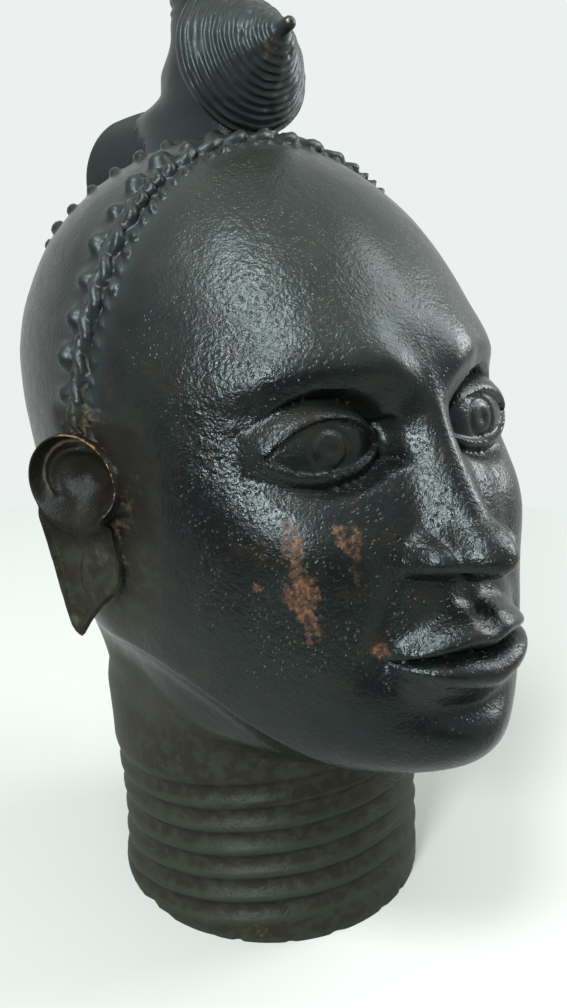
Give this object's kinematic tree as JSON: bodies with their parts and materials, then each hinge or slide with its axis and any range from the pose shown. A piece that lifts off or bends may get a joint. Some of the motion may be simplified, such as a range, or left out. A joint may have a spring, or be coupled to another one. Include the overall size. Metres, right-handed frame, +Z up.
{
  "type": "ife bronze head",
  "caption": "Crested bronze head on a ringed neck, with a calm general face, a twisted hair band with beads, bowl-shaped ears, and a ringed cone, ribbed roll and plume on the crown.",
  "frame": {"origin": "middle of the neck's flat underside", "axes": "+Z up through the neck to the plume, -Y the way the face looks, +X towards the head's own left ear"},
  "size_m": [0.17, 0.229, 0.362],
  "materials": {
    "patinated_bronze": "cast bronze with a dark brown to grey-green patina, half glossy, finely pitted, worn golden on the edges"
  },
  "bodies": {
    "root": {"bronze_head": "patinated_bronze"}
  },
  "joints": []
}
